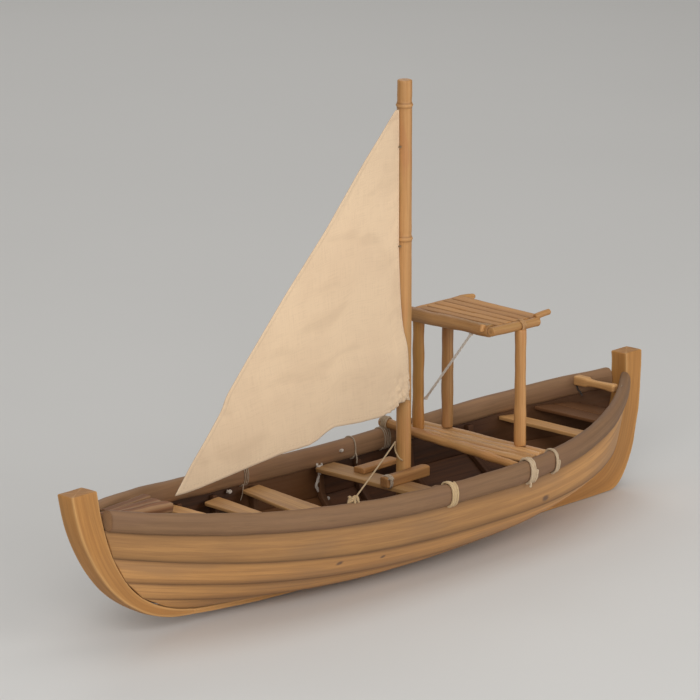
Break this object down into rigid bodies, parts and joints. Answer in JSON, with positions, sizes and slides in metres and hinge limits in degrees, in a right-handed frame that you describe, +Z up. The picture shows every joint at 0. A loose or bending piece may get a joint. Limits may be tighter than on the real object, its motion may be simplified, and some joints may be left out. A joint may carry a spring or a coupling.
{
  "type": "wooden model sailing boat",
  "caption": "Double-ended planked wooden model boat with ribs, thwarts, thick rails, a slatted shelter on posts and a turning cane mast with a three-cornered cloth sail.",
  "frame": {"origin": "on the floor under the keel, midway between the two ends of the boat", "axes": "+X along the keel to the bow, +Y to port, +Z up"},
  "size_m": [0.7998, 0.1962, 0.464],
  "materials": {
    "post_wood": "oiled light timber, open grain",
    "hull_wood": "oiled planks with dark seams",
    "rail_wood": "weathered grey-brown, matt",
    "inner_wood": "dark stained, matt",
    "seat_wood": "plain light timber, matt",
    "cane": "cane with a slight sheen",
    "sail_cloth": "unbleached plain-weave cotton",
    "twine": "twisted cotton twine"
  },
  "bodies": {
    "hull": {"keel": "post_wood", "stem_post": "post_wood", "stern_post": "post_wood", "strake_1_port": "hull_wood", "strake_1_starboard": "hull_wood", "strake_2_port": "hull_wood", "strake_2_starboard": "hull_wood", "strake_3_port": "hull_wood", "strake_3_starboard": "hull_wood", "strake_4_port": "hull_wood", "strake_4_starboard": "hull_wood", "rail_port": "rail_wood", "rail_starboard": "rail_wood", "foredeck_port": "rail_wood", "foredeck_middle": "rail_wood", "foredeck_starboard": "rail_wood", "rib_1": "inner_wood", "rib_2": "inner_wood", "rib_3": "inner_wood", "rib_4": "inner_wood", "rib_5": "inner_wood", "rib_6": "inner_wood", "rib_7": "inner_wood", "floor_board_port": "inner_wood", "floor_board_starboard": "inner_wood", "floor_board_middle_aft": "inner_wood", "floor_board_middle_fore": "inner_wood", "stern_bench_1": "inner_wood", "stern_bench_2": "inner_wood", "mast_step": "inner_wood", "thwart_1": "seat_wood", "thwart_2": "seat_wood", "thwart_3": "seat_wood", "thwart_mast": "seat_wood", "thwart_aft": "seat_wood", "stern_bar": "seat_wood", "mast_board_port": "seat_wood", "mast_board_starboard": "seat_wood", "platform_pole_1": "cane", "platform_pole_2": "cane", "platform_pole_3": "cane", "platform_pole_4": "cane", "platform_pole_5": "cane", "post_fore_starboard": "cane", "post_aft_starboard": "cane", "post_aft_port": "cane", "roof_fore_pole": "cane", "roof_pole_port": "cane", "roof_pole_starboard": "cane", "roof_slat_1": "cane", "roof_slat_2": "cane", "roof_slat_3": "cane", "roof_slat_4": "cane", "roof_slat_5": "cane", "shelter_brace": "twine", "mast_guy": "twine"},
    "rig": {"mast": "cane", "sail": "sail_cloth"}
  },
  "joints": [
    {"name": "mast_turn", "type": "hinge", "parent": "hull", "child": "rig", "pos_m": [-0.0526, 0, 0.018], "axis": [0, 0, 1], "range_deg": [-70, 70]}
  ]
}
